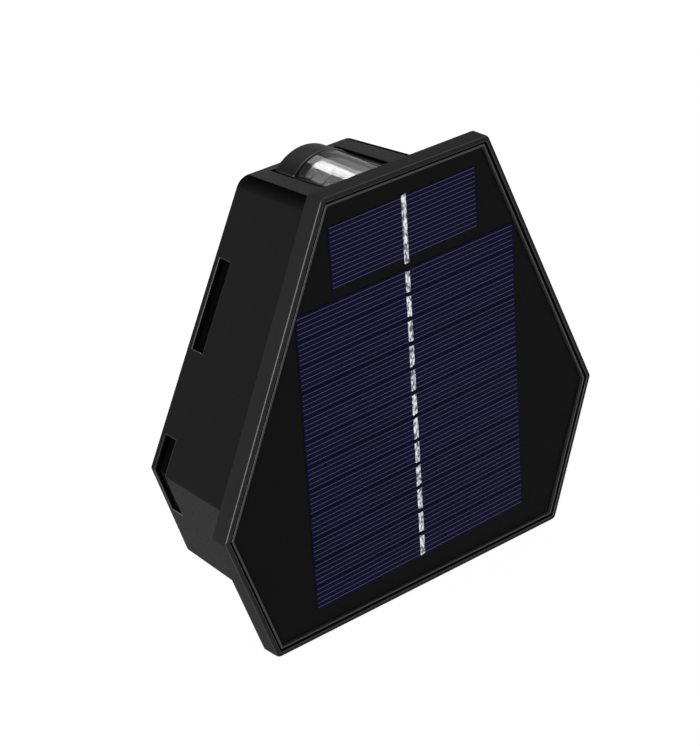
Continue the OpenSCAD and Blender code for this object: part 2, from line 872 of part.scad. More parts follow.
module dish(half_w, start, length, top, bottom, slope) {
    corners = [[-half_w, start], [half_w, start], [half_w, start + length], [-half_w, start + length]];
    small = [
        [-half_w + slope, start + slope], [half_w - slope, start + slope],
        [half_w - slope, start + length - slope], [-half_w + slope, start + length - slope]
    ];
    points = concat([for (p = small) [p[0], p[1], bottom]], [for (p = corners) [p[0], p[1], top]]);
    faces = [
        [0, 1, 2, 3], [7, 6, 5, 4], [0, 4, 5, 1], [1, 5, 6, 2], [2, 6, 7, 3], [3, 7, 4, 0]
    ];
    polyhedron(points = points, faces = faces);
}

module led_cup() {
    floor_top = cup_bottom + cup_t;
    difference() {
        union() {
            unit_box(
                unit_half_w, flange_start, flange_start + flange_l, lens_bottom - cup_t, flange_bottom
            );
            dish(
                dish_half_w + cup_t, dish_start - cup_t, dish_l + 2 * cup_t,
                lens_bottom - cup_t / 2, cup_bottom, cup_slope
            );
        }
        unit_box(
            lens_w / 2 + lens_flange_w + fit_gap, lens_start - lens_flange_w - fit_gap,
            lens_end + lens_flange_w + fit_gap, lens_bottom, flange_bottom + overrun
        );
        dish(dish_half_w, dish_start, dish_l, lens_bottom, floor_top, cup_slope);
        unit_box(
            dish_half_w, dish_start, dish_start + dish_l, lens_bottom - cup_t / 4,
            flange_bottom + overrun
        );
        for (i = [0 : led_count - 1])
            unit_box(
                led_size[0] / 2 + led_hole_gap, led_place(i) - led_size[1] / 2 - led_hole_gap,
                led_place(i) + led_size[1] / 2 + led_hole_gap, cup_bottom - overrun, lens_bottom
            );
    }
}

module top_led_cup() {
    color(moulding_black) on_unit(top_side) led_cup();
}

module bottom_led_cup() {
    color(moulding_black) on_unit(bottom_side) led_cup();
}

module led_board() {
    unit_box(dish_half_w, dish_start, dish_start + dish_l, cup_bottom - led_board_t, cup_bottom);
}

module leds() {
    for (i = [0 : led_count - 1])
        translate([-led_size[0] / 2, led_place(i) - led_size[1] / 2, cup_bottom])
            cube(led_size);
}

module top_led_board() {
    color("white") on_unit(top_side) led_board();
}

module bottom_led_board() {
    color("white") on_unit(bottom_side) led_board();
}

module top_leds() {
    color("#f2e7a0") on_unit(top_side) leds();
}

module bottom_leds() {
    color("#f2e7a0") on_unit(bottom_side) leds();
}

// A layer that follows the housing's inside, between two distances in from its outside
module wall_layer(from, to) {
    difference() {
        ring_solid([housing_ring(from, plate_t), housing_ring(from, window_front + overrun)]);
        ring_solid([
            housing_ring(to, plate_t - overrun), housing_ring(to, window_front + 2 * overrun)
        ]);
    }
}

// The stretch of wall that a slot takes, widened all round by a margin
module slot_zone(side, from, to, margin) {
    depth = wall_t + window_t + 2 * overrun;
    on_side(side)
        translate([from - margin, plate_t - margin, -depth])
            cube([to - from + 2 * margin, slot_w + 2 * margin, depth + overrun]);
}

module upper_zone(margin) {
    slot_zone(upper_left_side, upper_slot_start, upper_slot_start + upper_slot_l, margin);
}

module corner_zone(margin) {
    long = side_length(upper_left_side);
    slot_zone(upper_left_side, long - corner_slot_up, long + overrun - margin, margin);
    slot_zone(lower_left_side, margin - overrun, corner_slot_down, margin);
}

// A window lies on the inside of the wall and fills the slot up to its recess
module window_upper_left() {
    color("#0b0b0b") {
        intersection() {
            wall_layer(wall_t, wall_t + window_t);
            upper_zone(window_lap);
        }
        intersection() {
            wall_layer(window_recess, wall_t + window_t / 2);
            upper_zone(-fit_gap);
        }
    }
}

module window_corner_left() {
    color("#0b0b0b") {
        intersection() {
            wall_layer(wall_t, wall_t + window_t);
            corner_zone(window_lap);
        }
        intersection() {
            wall_layer(window_recess, wall_t + window_t / 2);
            corner_zone(-fit_gap);
        }
    }
}

module window_upper_right() {
    mirrored() window_upper_left();
}

module window_corner_right() {
    mirrored() window_corner_left();
}

module side_led_boards() {
    color("white")
        both_sides()
            for (light = side_lights)
                beside_side(light[0])
                    translate([light[1] - side_board_l / 2, plate_t, side_board_out - side_board_t])
                        cube([side_board_l, side_board_h, side_board_t]);
}

module side_leds() {
    color("#f2e7a0")
        both_sides()
            for (light = side_lights)
                beside_side(light[0])
                    translate([
                        light[1] - side_led_size[0] / 2, side_led_depth - side_led_size[1] / 2,
                        side_board_out
                    ])
                        cube(side_led_size);
}

module main_board() {
    half = board_size / 2;
    corners = [
        [-half[0], board_z - half[1]], [half[0], board_z - half[1]],
        [half[0], board_z + half[1]], [-half[0], board_z + half[1]]
    ];
    color(board_green)
        difference() {
            slab(rounded(corners, [for (i = [0 : 3]) board_corner_r]), board_back, board_front);
            for (place = board_bosses)
                post(place, board_hole_r, board_back - overrun, board_front + overrun);
        }
}

module plug(shares, pins, upright) {
    size = upright ? [plug_deep, plug_w(pins)] : [plug_w(pins), plug_deep];
    block(on_board(shares), size, board_front, plug_top);
}

module board_parts() {
    color("#dcdcd2") {
        for (shares = [top_plug_shares, panel_plug_shares, battery_plug_shares, bottom_plug_shares])
            plug(shares, 2, false);
        both_sides() plug(side_plug_shares, 4, true);
    }
    color("#202020")
        for (shares = chip_shares)
            block(on_board(shares), chip_size, board_front, board_front + chip_t);
    color("#4a4038") {
        post(on_board(coil_shares), coil_r, board_front, board_front + coil_h);
        post(on_board(capacitor_shares), capacitor_r, board_front, board_front + capacitor_h);
    }
}

module board_screws() {
    color(steel)
        for (place = board_bosses) {
            post(place, board_screw_r, board_front - board_screw_l, board_front + overrun / 2);
            post(place, board_screw_head_r, board_front, board_front + board_screw_head_h);
        }
}

module switch_body() {
    color("#5a5a5a")
        difference() {
            block(button_place, [switch_w, switch_w], switch_back, switch_front);
            post(button_place, stem_r + running_gap, switch_back - overrun, stem_bore_end);
        }
}

// Turned about its own axis: a rounded cap, a flange that keeps it in, and a stem
module switch_button() {
    cap_h = flange_front - button_drop;
    steps = corner_steps;
    edge = [
        for (k = [0 : steps])
            let (angle = 90 * k / steps)
            [button_r - button_edge_r * (1 - sin(angle)), button_edge_r * (1 - cos(angle))]
    ];
    outline = concat(
        [[0, 0]],
        edge,
        [
            [button_r, flange_back - button_drop],
            [button_r + button_flange_w, flange_back - button_drop],
            [button_r + button_flange_w, cap_h],
            [stem_r, cap_h],
            [stem_r, stem_end - button_drop],
            [0, stem_end - button_drop]
        ]
    );
    color("#181818")
        translate(at_depth(button_place, button_drop))
            rotate([90, 0, 0])
                rotate_extrude()
                    polygon(outline);
}

module battery_holder() {
    color("#1c1c1c")
        difference() {
            block([0, battery_z], [holder_l, holder_w], plate_t, holder_front);
            translate([-holder_inner_l / 2, -battery_depth, battery_z])
                rotate([0, 90, 0])
                    cylinder(r = battery_r + fit_gap, h = holder_inner_l);
            block(
                [0, battery_z], [holder_inner_l, 2 * (battery_r + fit_gap)],
                battery_depth, holder_front + overrun
            );
        }
}

module battery() {
    shoulder = battery_l - battery_tip_l;
    outline = [
        [0, 0], [battery_r - battery_end_r, 0], [battery_r, battery_end_r],
        [battery_r, shoulder - battery_end_r], [battery_r - battery_end_r, shoulder],
        [battery_tip_r, shoulder], [battery_tip_r, battery_l], [0, battery_l]
    ];
    color("#2f6f86")
        translate([battery_left, -battery_depth, battery_z])
            rotate([0, 90, 0])
                rotate_extrude()
                    polygon(outline);
}

// Each contact is a plate with a tab folded over the holder's end wall
module contact_plate(inner_x, outwards) {
    tab_l = contact_t + holder_end_t;
    plate_x = outwards > 0 ? inner_x - contact_t : inner_x;
    tab_x = outwards > 0 ? plate_x : inner_x + contact_t - tab_l;
    low = battery_z - contact_w / 2;
    translate([plate_x, -holder_front - contact_t, low])
        cube([contact_t, holder_front + contact_t - battery_depth + battery_r / 2, contact_w]);
    translate([tab_x, -holder_front - contact_t, low])
        cube([tab_l, contact_t, contact_w]);
}

module battery_contacts() {
    left_x = -holder_inner_l / 2;
    spring_path = [
        for (i = [0 : spring_turns * spring_steps])
            let (angle = 360 * i / spring_steps)
            let (share = i / (spring_turns * spring_steps))
            let (r = battery_tip_r * (2 - share))
            [
                left_x + contact_t + spring_wire_r + share * (spring_l - 2 * spring_wire_r),
                -battery_depth + r * cos(angle), battery_z + r * sin(angle)
            ]
    ];
    color(steel) {
        contact_plate(-left_x, 1);
        contact_plate(left_x, -1);
        tube(spring_path, spring_wire_r, [1, 0, 0]);
    }
}

module frame_screws() {
    color(steel)
        for (place = boss_places)
            difference() {
                union() {
                    post(place, screw_head_r, screw_well_h - screw_head_h, screw_well_h);
                    post(place, screw_r, screw_well_h - screw_head_h / 2, screw_well_h + screw_l);
                }
                for (size = [[screw_cross_l, screw_cross_w], [screw_cross_w, screw_cross_l]])
                    block(place, size, 0, screw_well_h - screw_head_h + screw_cross_h);
            }
}

module panel_leads() {
    color("#a02020")
        for (side = [-1, 1])
            lead(
                at_depth(lead_hole_place + [side * pin_pitch / 2, lead_hole_r / 2], panel_back), -forward,
                at_depth(lead_hole_place + [side * pin_pitch / 2, 0], plug_top), forward
            );
}

module battery_leads() {
    plug_place = on_board(battery_plug_shares);
    tab_x = holder_inner_l / 2 + holder_end_t / 2;
    color("#a02020")
        for (side = [-1, 1])
            lead(
                at_depth([side * tab_x, battery_z], holder_front + contact_t), forward,
                at_depth(plug_place + [side * pin_pitch / 2, 0], plug_top), forward,
                battery_lead_pull
            );
}

module unit_leads(side, depth, shares) {
    start_out = cup_bottom - led_board_t;
    inwards = side_point(side, draft, [0, 0, 0]) - side_point(side, draft, [0, 0, 1]);
    for (s = [-1, 1])
        lead(
            side_point(side, draft, [side_length(side) / 2 + s * pin_pitch / 2, depth, start_out]),
            inwards,
            at_depth(
                on_board(shares) + [s * pin_pitch / 2 * (side == top_side ? -1 : 1), 0], plug_top
            ),
            forward
        );
}

module led_leads() {
    color("#a02020") {
        unit_leads(top_side, led_place(0), top_plug_shares);
        unit_leads(bottom_side, led_place(1), bottom_plug_shares);
    }
}

module side_led_leads() {
    color("#a02020")
        both_sides()
            for (k = [0 : 1])
                for (s = [0, 1])
                    lead(
                        side_point(side_lights[k][0], 0, [
                            side_lights[k][1] + (s - 0.5) * pin_pitch, plate_t + side_board_h,
                            side_board_out - side_board_t / 2
                        ]),
                        forward,
                        at_depth(
                            on_board([-side_plug_shares[0], side_plug_shares[1]])
                            + [0, pin_pitch * (1.5 - 2 * k - s)], plug_top
                        ),
                        forward
                    );
}

housing();
front_frame();
housing_seal();
panel_gasket();
panel_board();
solar_cells();
cell_ribbons();
top_hood();
bottom_hood();
top_lens();
bottom_lens();
top_led_cup();
bottom_led_cup();
top_led_board();
bottom_led_board();
top_leds();
bottom_leds();
window_upper_left();
window_upper_right();
window_corner_left();
window_corner_right();
side_led_boards();
side_leds();
main_board();
board_parts();
board_screws();
switch_body();
switch_button();
battery_holder();
battery();
battery_contacts();
frame_screws();
panel_leads();
battery_leads();
led_leads();
side_led_leads();
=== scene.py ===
# %% [markdown]
# # A six-sided solar fence light
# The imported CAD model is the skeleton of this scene: it fixes every size and place.
# Blender adds what CAD leaves out: rounded edges, moulded grain, the printed lines on the
# cells, the tinned ribbon, clear lenses, a studio and a camera. The CAD model is loaded
# first, because every piece below takes its place from it.

# %% Load the CAD model
import math
import random

import bmesh
import bpy
from mathutils import Matrix, Vector
from mathutils.kdtree import KDTree


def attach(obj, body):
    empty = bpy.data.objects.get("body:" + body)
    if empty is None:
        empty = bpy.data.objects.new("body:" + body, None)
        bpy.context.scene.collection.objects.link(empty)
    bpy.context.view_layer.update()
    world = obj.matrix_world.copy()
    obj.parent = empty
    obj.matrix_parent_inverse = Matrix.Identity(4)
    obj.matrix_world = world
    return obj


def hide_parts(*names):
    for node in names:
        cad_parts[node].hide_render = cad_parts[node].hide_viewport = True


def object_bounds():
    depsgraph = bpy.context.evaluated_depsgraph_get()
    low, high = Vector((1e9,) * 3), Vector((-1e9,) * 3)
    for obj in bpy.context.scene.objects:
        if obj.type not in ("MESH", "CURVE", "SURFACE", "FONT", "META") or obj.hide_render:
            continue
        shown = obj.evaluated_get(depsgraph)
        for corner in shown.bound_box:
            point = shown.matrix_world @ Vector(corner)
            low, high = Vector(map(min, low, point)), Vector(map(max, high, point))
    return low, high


MM = 0.001
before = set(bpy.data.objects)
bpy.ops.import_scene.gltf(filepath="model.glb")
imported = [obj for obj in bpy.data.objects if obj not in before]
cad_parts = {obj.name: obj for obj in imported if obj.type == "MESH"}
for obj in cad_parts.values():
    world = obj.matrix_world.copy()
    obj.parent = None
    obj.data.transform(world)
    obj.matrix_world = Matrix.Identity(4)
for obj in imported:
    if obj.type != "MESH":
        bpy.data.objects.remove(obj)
cad_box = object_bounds()
print("CAD box in mm:", [[round(c / MM, 2) for c in corner] for corner in cad_box])

# %% [markdown]
# ## The camera
# The photograph was taken with a long lens from the left, above and in front. A camera
# could be set by eye, but here it was solved from the photograph's corners, so it is
# given as what a photographer would note: the point aimed at, the direction, the
# distance, a slight roll and the focal length.

# %% Camera
AIM = Vector((-3.25, -20, 16.71)) * MM
LOOK_AZIMUTH = math.radians(40.36)
LOOK_DOWN = math.radians(26.6)
CAMERA_ROLL = math.radians(-2.73)
CAMERA_DISTANCE = 666.75 * MM
FOCAL_LENGTH = 132.46
NEAREST = 10 * MM


def make_camera():
    """Points a camera at the aim, from the distance and direction given above."""
    look = Vector((
        math.sin(LOOK_AZIMUTH) * math.cos(LOOK_DOWN),
        math.cos(LOOK_AZIMUTH) * math.cos(LOOK_DOWN),
        -math.sin(LOOK_DOWN),
    ))
    data = bpy.data.cameras.new("camera")
    data.lens = FOCAL_LENGTH
    data.clip_start = NEAREST
    camera = bpy.data.objects.new("camera", data)
    bpy.context.scene.collection.objects.link(camera)
    camera.rotation_mode = "QUATERNION"
    level = look.to_track_quat("-Z", "Y")
    camera.rotation_quaternion = level @ Matrix.Rotation(CAMERA_ROLL, 4, "Z").to_quaternion()
    camera.location = AIM - look * CAMERA_DISTANCE
    bpy.context.scene.camera = camera
    return camera


camera = make_camera()
print("camera at", [round(c / MM) for c in camera.location], "mm")

# %% [markdown]
# ## Helpers for materials
# Every material below is a small tree of nodes. One function turns the hex colours that
# designers use into Blender's linear colours, and one adds a node with its settings and
# its links, so that a material reads like a recipe.


# %% Material helpers
# The sockets of a Mix node for colours share their names, so they are taken by number.
MIX_SHARE, MIX_FIRST, MIX_SECOND, MIXED = 0, 6, 7, 2


def linear(hex_code):
    """A hex colour such as "#242424" as the linear RGBA that shaders use."""
    shares = [int(hex_code[i : i + 2], 16) / 255 for i in (1, 3, 5)]
    return [s / 12.92 if s <= 0.04045 else ((s + 0.055) / 1.055) ** 2.4 for s in shares] + [1]


def add_node(tree, kind, inputs=None, **settings):
    """Adds a node. Settings are its own properties; inputs are values, or sockets to link."""
    made = tree.nodes.new(kind)
    for key, value in settings.items():
        setattr(made, key, value)
    for key, value in (inputs or {}).items():
        if isinstance(value, bpy.types.NodeSocket):
            tree.links.new(value, made.inputs[key])
        else:
            made.inputs[key].default_value = value
    return made


def new_material(name, fixed=None):
    """A named material, its tree and its shader, with the shader's plain values set."""
    material = bpy.data.materials.new(name)
    material.use_nodes = True
    tree = material.node_tree
    shader = tree.nodes["Principled BSDF"]
    for key, value in (fixed or {}).items():
        shader.inputs[key].default_value = value
    return material, tree, shader


def noise(tree, size_mm, detail=2.0, stretch=(1, 1, 1)):
    """Noise on Object coordinates with features of about size_mm, stretched if asked."""
    place = add_node(tree, "ShaderNodeTexCoord").outputs["Object"]
    turned = add_node(tree, "ShaderNodeMapping", {"Vector": place, "Scale": stretch})
    return add_node(tree, "ShaderNodeTexNoise", {
        "Vector": turned.outputs[0], "Scale": 1 / (size_mm * MM), "Detail": detail,
    }).outputs["Fac"]


def blend_colours(tree, share, first, second):
    """Mixes two hex colours or colour sockets by a share."""
    mix = add_node(tree, "ShaderNodeMix", data_type="RGBA")
    tree.links.new(share, mix.inputs[MIX_SHARE])
    for index, colour in ((MIX_FIRST, first), (MIX_SECOND, second)):
        if isinstance(colour, str):
            mix.inputs[index].default_value = linear(colour)
        else:
            tree.links.new(colour, mix.inputs[index])
    return mix.outputs[MIXED]


def spread(tree, share, low, high, start=0.3, end=0.7):
    """Maps the middle of a noise onto a range."""
    return add_node(tree, "ShaderNodeMapRange", {
        "Value": share, "From Min": start, "From Max": end, "To Min": low, "To Max": high,
    }).outputs[0]


def relief(tree, shader, height, depth_mm, strength=1.0):
    """Raises and lowers the surface by a height socket."""
    bump = add_node(tree, "ShaderNodeBump", {
        "Height": height, "Distance": depth_mm * MM, "Strength": strength,
    })
    tree.links.new(bump.outputs[0], shader.inputs["Normal"])


print("helpers ready; mid grey #808080 is", round(linear("#808080")[0], 3), "in linear colour")

# %% [markdown]
# ## Moulded plastics
# The housing, the frame, the hoods and the small inner parts are all moulded plastic.
# ABS is a near-black pigment in a dull skin, and the spark-eroded mould leaves a fine
# grain in it. One recipe serves them all: two close tones in slow clouds, and one fine
# noise that drives both the roughness and the relief. Where the mould is polished, or where
# edges have been rubbed bright, the same plastic mirrors more. In a groove, in the side slots
# and in the seams the plastic is painted near black and dull, as painted shade. The long
# roundings beside the top carry painted shade, darker toward the top, which the photograph
# shows as a hard line along the top edge.

# %% Plastics
CLOUD_MM = 14


def plastic(name, dark, light, rough, grain_mm, depth_mm, fixed=None):
    """Moulded plastic: two close tones, a range of roughness and a grain."""
    material, tree, shader = new_material(name, fixed)
    grain = noise(tree, grain_mm)
    tone = blend_colours(tree, noise(tree, CLOUD_MM, 3.0), dark, light)
    tree.links.new(tone, shader.inputs["Base Color"])
    tree.links.new(spread(tree, grain, *rough), shader.inputs["Roughness"])
    relief(tree, shader, grain, depth_mm)
    return material


# The real grain is about 0.1 mm, too fine for the picture, so it is drawn at 0.45 mm.
housing_abs = plastic(
    "spark_textured_abs", "#171717", "#1b1b1b", (0.48, 0.62), 0.45, 0.008,
    {"Specular IOR Level": 0.05},
)
frame_abs = plastic(
    "satin_abs", "#2b2b2b", "#303030", (0.4, 0.52), 0.4, 0.004, {"Specular IOR Level": 0.01}
)
# Painted shade: a near-black, dull copy of the plastic, laid in grooves, side slots and seams.
groove_shade_abs = plastic(
    "painted_shade_groove_abs", "#080808", "#0b0b0b", (0.7, 0.8), 0.3, 0.004,
    {"Specular IOR Level": 0.0},
)
polished_edge = plastic(
    "polished_abs_edge", "#222222", "#282828", (0.2, 0.28), 0.4, 0.002,
    {"Specular IOR Level": 0.34},
)
bright_lip = plastic(
    "burnished_abs_lip", "#222222", "#282828", (0.2, 0.28), 0.4, 0.002,
    {"Specular IOR Level": 0.4},
)


ROUNDING_UPRIGHT = (0.3, 0.97)


def painted_shade_rounding():
    """The long roundings beside the top, with painted shade: darker toward the top."""
    material, tree, shader = new_material(
        "abs_rounding_painted_shade", {"Roughness": 0.5, "Specular IOR Level": 0.0}
    )
    normal = add_node(tree, "ShaderNodeTexCoord").outputs["Normal"]
    upright = add_node(tree, "ShaderNodeSeparateXYZ", {0: normal}).outputs["Z"]
    share = spread(tree, upright, 0, 1, *ROUNDING_UPRIGHT)
    # Painted shade: the colour darkens as the face turns toward the top.
    tree.links.new(blend_colours(tree, share, "#252525", "#121212"), shader.inputs["Base Color"])
    return material


rounding_shade_abs = painted_shade_rounding()
cup_abs = plastic(
    "smooth_black_abs", "#101010", "#141414", (0.3, 0.4), 0.6, 0.003,
    {"Specular IOR Level": 0.06},
)
smoked_pc = plastic(
    "smoked_polycarbonate", "#020202", "#040404", (0.3, 0.4), 0.8, 0.002,
    {"Specular IOR Level": 0.01},
)
button_tpe = plastic("soft_black_tpe", "#141414", "#1a1a1a", (0.55, 0.7), 0.3, 0.01)
seal_rubber = plastic("epdm_rubber", "#2c2c2c", "#363636", (0.6, 0.75), 0.4, 0.01)
foam_tape = plastic("closed_cell_foam", "#2a2a2a", "#3a3a3a", (0.8, 0.95), 0.5, 0.05)
switch_plastic = plastic("grey_nylon", "#4c4c4c", "#585858", (0.4, 0.5), 0.5, 0.005)
plug_plastic = plastic("natural_nylon", "#d4d2c4", "#e0dfd4", (0.35, 0.45), 0.6, 0.004)
sleeve_pvc = plastic("red_pvc_sleeve", "#8c1a1a", "#a22020", (0.35, 0.45), 0.8, 0.004)
battery_sleeve = plastic("shrunk_pvc_sleeve", "#24586e", "#2c667e", (0.2, 0.3), 3.0, 0.01)
board_white = plastic("white_solder_mask", "#e2e2de", "#ececea", (0.3, 0.4), 0.8, 0.003)
board_green = plastic("green_solder_mask", "#164a30", "#1d5a3a", (0.25, 0.35), 0.8, 0.004)
print(len(bpy.data.materials), "materials so far")

# %% [markdown]
# ## The panel's black board
# The panel is a board of black laminate, sealed under a thin film. It is smoother than
# the moulded frame round it, but far from a mirror: light only slides over it. Its
# specular level is low, because the photograph shows hardly any reflection in it.

# %% Panel board
board_black = plastic(
    "black_epoxy_laminate", "#101010", "#131313", (0.35, 0.45), 2.5, 0.002,
    {"Specular IOR Level": 0.02},
)
print("panel board:", board_black.name)

# %% [markdown]
# ## Silicon
# A cell is a thin slice of silicon, etched and coated, so that it swallows light and looks
# navy with a violet cast. The tone drifts a little across a wafer, and each cut strip
# comes from another place on it. A white noise on the strip's number gives each strip
# its own small change of tone, on top of slow clouds.

# %% Silicon material
STRIP_MM = 6.525
WAFER_CLOUD_MM = 18
STRIP_STEP_SHARE = 0.35


def silicon():
    """Coated silicon: navy clouds, and one small step of tone for each strip."""
    material, tree, shader = new_material("coated_silicon", {"Specular IOR Level": 0.02})
    place = add_node(tree, "ShaderNodeTexCoord").outputs["Object"]
    height = add_node(tree, "ShaderNodeSeparateXYZ", {"Vector": place}).outputs["Z"]
    number = add_node(
        tree, "ShaderNodeMath", {0: height, 1: STRIP_MM * MM}, operation="DIVIDE"
    ).outputs[0]
    whole = add_node(tree, "ShaderNodeMath", {0: number}, operation="FLOOR").outputs[0]
    step = add_node(
        tree, "ShaderNodeTexWhiteNoise", {"W": whole}, noise_dimensions="1D"
    ).outputs["Value"]
    clouds = blend_colours(tree, noise(tree, WAFER_CLOUD_MM, 3.0), "#100d29", "#141030")
    share = add_node(
        tree, "ShaderNodeMath", {0: step, 1: STRIP_STEP_SHARE}, operation="MULTIPLY"
    ).outputs[0]
    tree.links.new(blend_colours(tree, share, clouds, "#161236"), shader.inputs["Base Color"])
    grain = noise(tree, 0.8)
    tree.links.new(spread(tree, grain, 0.3, 0.42), shader.inputs["Roughness"])
    relief(tree, shader, grain, 0.002)
    return material


coated_silicon = silicon()
print("cells:", coated_silicon.name)

# %% [markdown]
# ## Metals
# The fingers are silver paste, printed and fired, which stays dull and greyish. The
# ribbon is copper dipped in tin, so it is bright, but wavy and flecked where the tin
# froze. Screws are zinc plated steel. A metal keeps the default IOR; its colour and its
# roughness do the work.

# %% Metal materials
MOTTLE_MIDDLE = (0.38, 0.62)


def metal(name, dark, light, rough, grain_mm, depth_mm, metallic=1.0, stretch=(1, 1, 1)):
    """A metal with clouds between two tones, mottled roughness and a soft relief."""
    material, tree, shader = new_material(name, {"Metallic": metallic})
    mottle = noise(tree, grain_mm, 3.0, stretch)
    share = spread(tree, mottle, 0, 1, *MOTTLE_MIDDLE)
    tree.links.new(blend_colours(tree, share, dark, light), shader.inputs["Base Color"])
    tree.links.new(spread(tree, mottle, *rough), shader.inputs["Roughness"])
    relief(tree, shader, mottle, depth_mm)
    return material


fired_silver = metal("fired_silver_paste", "#3a3856", "#444162", (0.45, 0.6), 0.5, 0.004, 0.3)
tinned_copper = metal(
    "tinned_copper", "#60606a", "#f4f4f8", (0.5, 0.3), 0.6, 0.05, 0.85, (1, 1, 0.5)
)
zinc_steel = metal("zinc_plated_steel", "#8c8c88", "#b8b8b2", (0.45, 0.3), 0.7, 0.008)
nickel_steel = metal("nickel_plated_steel", "#a8a49a", "#c8c4ba", (0.4, 0.25), 0.7, 0.006)
print("metals:", [m.name for m in (fired_silver, tinned_copper, zinc_steel, nickel_steel)])

# %% [markdown]
# ## Clear and glowing parts
# The lens is injection moulded polycarbonate: clear, IOR 1.58, with a faint ripple from
# the mould. A thick clear block would bend and mirror everything behind it; this is a thin
# wall, so its shader is mixed with a plain see-through one. An LED is a white plastic body
# round a well of yellow phosphor.

# %% Lens and LED materials
POLYCARBONATE_IOR = 1.58
STRAIGHT_SHARE = 0.7
RIPPLE_MM = 3.0


def clear_plastic():
    """Clear polycarbonate with a faint moulded ripple."""
    material, tree, shader = new_material("clear_polycarbonate", {
        "Transmission Weight": 1.0, "IOR": POLYCARBONATE_IOR, "Base Color": linear("#d8d8d8"),
    })
    ripple = noise(tree, RIPPLE_MM, 1.0)
    tree.links.new(spread(tree, ripple, 0.008, 0.025), shader.inputs["Roughness"])
    relief(tree, shader, ripple, 0.006, 0.5)
    # The wall is thin, so part of the light goes straight on, and all of it on its way in
    # to the LEDs, which would be left dark otherwise.
    passing = add_node(tree, "ShaderNodeBsdfTransparent", {"Color": linear("#ececec")})
    rays = add_node(tree, "ShaderNodeLightPath").outputs
    share = add_node(tree, "ShaderNodeMath", {
        0: rays["Is Shadow Ray"], 1: STRAIGHT_SHARE,
    }, operation="MAXIMUM").outputs[0]
    mixed = add_node(tree, "ShaderNodeMixShader", {
        0: share, 1: shader.outputs[0], 2: passing.outputs[0],
    })
    tree.links.new(mixed.outputs[0], tree.nodes["Material Output"].inputs[0])
    return material


clear_pc = clear_plastic()
led_body = plastic("led_white_ppa", "#eeeeea", "#f6f6f2", (0.35, 0.45), 0.5, 0.002)
led_phosphor = plastic(
    "led_phosphor_gel", "#e2d59a", "#ece2b4", (0.15, 0.25), 0.3, 0.004,
    {"Subsurface Weight": 0.1, "Subsurface Scale": 0.3 * MM},
)
print(len(bpy.data.materials), "materials in all")

# %% [markdown]
# ## Give every CAD node its finish
# CAD nodes stay where they are and keep their meshes. Only the material in their slot is
# changed.

# %% Dress the CAD nodes
FINISHES = {
    housing_abs: ["housing", "top_hood", "bottom_hood"],
    frame_abs: ["front_frame"],
    seal_rubber: ["housing_seal"],
    foam_tape: ["panel_gasket"],
    board_black: ["panel_board"],
    coated_silicon: ["solar_cells"],
    tinned_copper: ["cell_ribbons"],
    clear_pc: ["top_lens", "bottom_lens"],
    cup_abs: ["top_led_cup", "bottom_led_cup", "battery_holder"],
    board_white: ["top_led_board", "bottom_led_board", "side_led_boards"],
    led_phosphor: ["top_leds", "bottom_leds", "side_leds"],
    smoked_pc: [
        "window_upper_left", "window_upper_right", "window_corner_left", "window_corner_right",
    ],
    board_green: ["main_board"],
    plug_plastic: ["board_parts"],
    zinc_steel: ["board_screws", "frame_screws"],
    switch_plastic: ["switch_body"],
    button_tpe: ["switch_button"],
    battery_sleeve: ["battery"],
    nickel_steel: ["battery_contacts"],
    sleeve_pvc: ["panel_leads", "battery_leads", "led_leads", "side_led_leads"],
}


def dress(piece, material):
    """Gives one finish to every slot of an object."""
    if not piece.data.materials:
        piece.data.materials.append(material)
    for slot in piece.material_slots:
        slot.material = material


for material, names in FINISHES.items():
    for name in names:
        dress(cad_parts[name], material)
print("dressed", sum(len(names) for names in FINISHES.values()), "of", len(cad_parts))

# %% [markdown]
# ## Rounded copies of the main mouldings
# No moulded edge is a knife edge: each has a small radius, and that radius is what
# catches a line of light. CAD leaves its edges sharp to stay light. One could fake the
# radius in the shader, but then the mesh would lack it. Here the CAD mesh is copied, its
# loose triangles are merged, flat faces are joined, and the sharp edges are bevelled.
# Weighted normals keep the flats flat, so that only the new edges shade round. The new
# narrow faces also get a finish of their own, by where they lie: bright on a lip or an
# outer edge, and near black as painted shade in a groove, in the side slots and along the
# seam of each light unit.

# %% Rounded copies
SHARP = math.radians(32)
FLAT = math.radians(0.6)
MERGE_MM = 0.002
ROOM_WIDTHS = 2
STRAY_WIDTHS = 4


def merged_mesh(name):
    """A CAD node's mesh in millimetres, merged, with its flat faces joined."""
    mesh = bmesh.new()
    mesh.from_mesh(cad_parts[name].data)
    mesh.transform(Matrix.Scale(1 / MM, 4))
    bmesh.ops.remove_doubles(mesh, verts=mesh.verts, dist=MERGE_MM)
    bmesh.ops.dissolve_limit(
        mesh, angle_limit=FLAT, verts=mesh.verts, edges=mesh.edges, use_dissolve_boundaries=False
    )
    return mesh


def add_piece(name, mesh, materials):
    """Turns a bmesh in millimetres into an object in metres at the origin."""
    mesh.transform(Matrix.Scale(MM, 4))
    data = bpy.data.meshes.new(name)
    mesh.to_mesh(data)
    mesh.free()
    for material in materials:
        data.materials.append(material)
    piece = bpy.data.objects.new(name, data)
    bpy.context.scene.collection.objects.link(piece)
    return piece


def plain(piece):
    """Applies an object's modifiers by taking its evaluated mesh."""
    bpy.context.view_layer.update()
    evaluated = piece.evaluated_get(bpy.context.evaluated_depsgraph_get())
    data = bpy.data.meshes.new_from_object(evaluated)
    piece.modifiers.clear()
    piece.data = data
    return piece


def shade_round(piece, angle=SHARP):
    """Smooth shading between close faces, weighted so that flats stay flat."""
    piece.data.shade_smooth()
    piece.data.set_sharp_from_angle(angle=angle)
    weighted = piece.modifiers.new("weighted", "WEIGHTED_NORMAL")
    weighted.keep_sharp = True
    return plain(piece)


